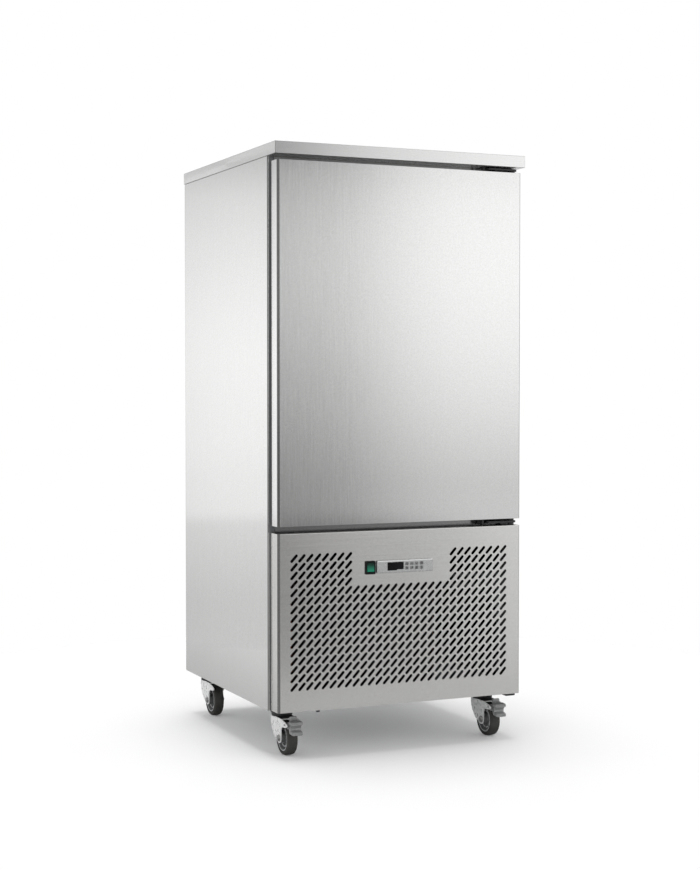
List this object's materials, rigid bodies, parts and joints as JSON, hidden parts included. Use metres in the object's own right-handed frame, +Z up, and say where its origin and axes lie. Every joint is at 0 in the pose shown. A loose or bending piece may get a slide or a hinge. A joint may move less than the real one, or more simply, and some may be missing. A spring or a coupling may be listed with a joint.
{
  "type": "blast chiller",
  "caption": "Upright stainless tray blast chiller on swivel castors, with a right-hung insulated door over a perforated service panel holding a rocker switch and a digital controller.",
  "frame": {"origin": "on the floor, under the middle of the worktop", "axes": "+Z up, the door faces -Y, +X to the right of someone who faces the door"},
  "size_m": [0.79, 0.8, 1.727],
  "materials": {
    "stainless": "satin",
    "stainless_inside": "satin",
    "galvanised": "satin",
    "zinc": "satin",
    "black_steel": "satin",
    "black_plastic": "satin",
    "grey_plastic": "satin",
    "silver_plastic": "satin",
    "green_lens": "gloss",
    "smoked_lens": "gloss",
    "key_plastic": "matte",
    "tyre_rubber": "matte",
    "seal_rubber": "matte",
    "foam": "matte",
    "coil_fins": "satin",
    "compressor_paint": "satin"
  },
  "bodies": {
    "cabinet": {"top_slab": "stainless", "left_side_panel": "stainless", "right_side_panel": "stainless", "rear_panel": "stainless", "base_pan": "galvanised", "front_frame": "stainless", "inner_liner": "stainless_inside", "insulation_foam": "foam", "hinge_bracket_top": "black_steel", "hinge_bracket_middle": "black_steel", "hinge_bracket_foot": "black_steel", "tray_rack_left": "stainless_inside", "tray_rack_right": "stainless_inside", "fan_baffle": "stainless_inside", "evaporator_coil": "coil_fins", "condenser_coil": "coil_fins", "condenser_shroud": "galvanised", "compressor": "compressor_paint", "castor_plate_front_left": "black_steel", "castor_plate_front_right": "black_steel", "castor_plate_rear_left": "black_steel", "castor_plate_rear_right": "black_steel"},
    "door": {"door_skin": "stainless", "door_foam": "foam", "door_liner": "stainless_inside", "door_seal": "seal_rubber"},
    "service_panel": {"service_panel": "stainless", "switch_housing": "black_plastic", "controller_housing": "silver_plastic", "display_window": "smoked_lens"},
    "switch_rocker": {"switch_rocker": "green_lens"},
    "evaporator_fan_lower": {"evaporator_fan_lower": "black_plastic"},
    "evaporator_fan_upper": {"evaporator_fan_upper": "black_plastic"},
    "condenser_fan": {"condenser_fan": "black_plastic"},
    "key_1": {"key_1": "key_plastic"},
    "key_2": {"key_2": "key_plastic"},
    "key_3": {"key_3": "key_plastic"},
    "key_4": {"key_4": "key_plastic"},
    "key_5": {"key_5": "key_plastic"},
    "key_6": {"key_6": "key_plastic"},
    "key_7": {"key_7": "key_plastic"},
    "key_8": {"key_8": "key_plastic"},
    "castor_front_left": {"castor_fork_front_left": "zinc", "castor_axle_front_left": "zinc"},
    "wheel_front_left": {"castor_tyre_front_left": "tyre_rubber", "castor_hub_front_left": "grey_plastic"},
    "brake_pedal_front_left": {"brake_pedal_front_left": "zinc"},
    "castor_front_right": {"castor_fork_front_right": "zinc", "castor_axle_front_right": "zinc"},
    "wheel_front_right": {"castor_tyre_front_right": "tyre_rubber", "castor_hub_front_right": "grey_plastic"},
    "brake_pedal_front_right": {"brake_pedal_front_right": "zinc"},
    "castor_rear_left": {"castor_fork_rear_left": "zinc", "castor_axle_rear_left": "zinc"},
    "wheel_rear_left": {"castor_tyre_rear_left": "tyre_rubber", "castor_hub_rear_left": "grey_plastic"},
    "castor_rear_right": {"castor_fork_rear_right": "zinc", "castor_axle_rear_right": "zinc"},
    "wheel_rear_right": {"castor_tyre_rear_right": "tyre_rubber", "castor_hub_rear_right": "grey_plastic"}
  },
  "joints": [
    {"name": "door_hinge", "type": "hinge", "parent": "cabinet", "child": "door", "pos_m": [0.368, -0.368, 1.168], "axis": [0, 0, 1], "range_deg": [0, 110]},
    {"name": "service_panel_hinge", "type": "hinge", "parent": "cabinet", "child": "service_panel", "pos_m": [0.368, -0.368, 0.387], "axis": [0, 0, 1], "range_deg": [0, 100]},
    {"name": "rocker_tilt", "type": "hinge", "parent": "service_panel", "child": "switch_rocker", "pos_m": [-0.103, -0.391, 0.533], "axis": [1, 0, 0], "range_deg": [0, 14]},
    {"name": "evaporator_fan_lower_spin", "type": "hinge", "parent": "cabinet", "child": "evaporator_fan_lower", "pos_m": [0, 0.101, 0.988], "axis": [0, 1, 0], "continuous": true},
    {"name": "evaporator_fan_upper_spin", "type": "hinge", "parent": "cabinet", "child": "evaporator_fan_upper", "pos_m": [0, 0.101, 1.348], "axis": [0, 1, 0], "continuous": true},
    {"name": "condenser_fan_spin", "type": "hinge", "parent": "cabinet", "child": "condenser_fan", "pos_m": [-0.07, -0.174, 0.3325], "axis": [0, 1, 0], "continuous": true},
    {"name": "key_1_press", "type": "slide", "parent": "service_panel", "child": "key_1", "axis": [0, 1, 0], "range_m": [0, 0.0008], "stiffness_N_per_m": 400, "springref_m": -0.0005},
    {"name": "key_2_press", "type": "slide", "parent": "service_panel", "child": "key_2", "axis": [0, 1, 0], "range_m": [0, 0.0008], "stiffness_N_per_m": 400, "springref_m": -0.0005},
    {"name": "key_3_press", "type": "slide", "parent": "service_panel", "child": "key_3", "axis": [0, 1, 0], "range_m": [0, 0.0008], "stiffness_N_per_m": 400, "springref_m": -0.0005},
    {"name": "key_4_press", "type": "slide", "parent": "service_panel", "child": "key_4", "axis": [0, 1, 0], "range_m": [0, 0.0008], "stiffness_N_per_m": 400, "springref_m": -0.0005},
    {"name": "key_5_press", "type": "slide", "parent": "service_panel", "child": "key_5", "axis": [0, 1, 0], "range_m": [0, 0.0008], "stiffness_N_per_m": 400, "springref_m": -0.0005},
    {"name": "key_6_press", "type": "slide", "parent": "service_panel", "child": "key_6", "axis": [0, 1, 0], "range_m": [0, 0.0008], "stiffness_N_per_m": 400, "springref_m": -0.0005},
    {"name": "key_7_press", "type": "slide", "parent": "service_panel", "child": "key_7", "axis": [0, 1, 0], "range_m": [0, 0.0008], "stiffness_N_per_m": 400, "springref_m": -0.0005},
    {"name": "key_8_press", "type": "slide", "parent": "service_panel", "child": "key_8", "axis": [0, 1, 0], "range_m": [0, 0.0008], "stiffness_N_per_m": 400, "springref_m": -0.0005},
    {"name": "castor_front_left_swivel", "type": "hinge", "parent": "cabinet", "child": "castor_front_left", "pos_m": [-0.326, -0.271, 0.11], "axis": [0, 0, 1], "continuous": true},
    {"name": "wheel_front_left_spin", "type": "hinge", "parent": "castor_front_left", "child": "wheel_front_left", "pos_m": [-0.326, -0.309, 0.05], "axis": [1, 0, 0], "continuous": true},
    {"name": "brake_pedal_front_left_press", "type": "hinge", "parent": "castor_front_left", "child": "brake_pedal_front_left", "pos_m": [-0.326, -0.354, 0.095], "axis": [1, 0, 0], "range_deg": [0, 8]},
    {"name": "castor_front_right_swivel", "type": "hinge", "parent": "cabinet", "child": "castor_front_right", "pos_m": [0.326, -0.271, 0.11], "axis": [0, 0, 1], "continuous": true},
    {"name": "wheel_front_right_spin", "type": "hinge", "parent": "castor_front_right", "child": "wheel_front_right", "pos_m": [0.326, -0.309, 0.05], "axis": [1, 0, 0], "continuous": true},
    {"name": "brake_pedal_front_right_press", "type": "hinge", "parent": "castor_front_right", "child": "brake_pedal_front_right", "pos_m": [0.326, -0.354, 0.095], "axis": [1, 0, 0], "range_deg": [0, 8]},
    {"name": "castor_rear_left_swivel", "type": "hinge", "parent": "cabinet", "child": "castor_rear_left", "pos_m": [-0.326, 0.35, 0.11], "axis": [0, 0, 1], "continuous": true},
    {"name": "wheel_rear_left_spin", "type": "hinge", "parent": "castor_rear_left", "child": "wheel_rear_left", "pos_m": [-0.326, 0.312, 0.05], "axis": [1, 0, 0], "continuous": true},
    {"name": "castor_rear_right_swivel", "type": "hinge", "parent": "cabinet", "child": "castor_rear_right", "pos_m": [0.326, 0.35, 0.11], "axis": [0, 0, 1], "continuous": true},
    {"name": "wheel_rear_right_spin", "type": "hinge", "parent": "castor_rear_right", "child": "wheel_rear_right", "pos_m": [0.326, 0.312, 0.05], "axis": [1, 0, 0], "continuous": true}
  ]
}
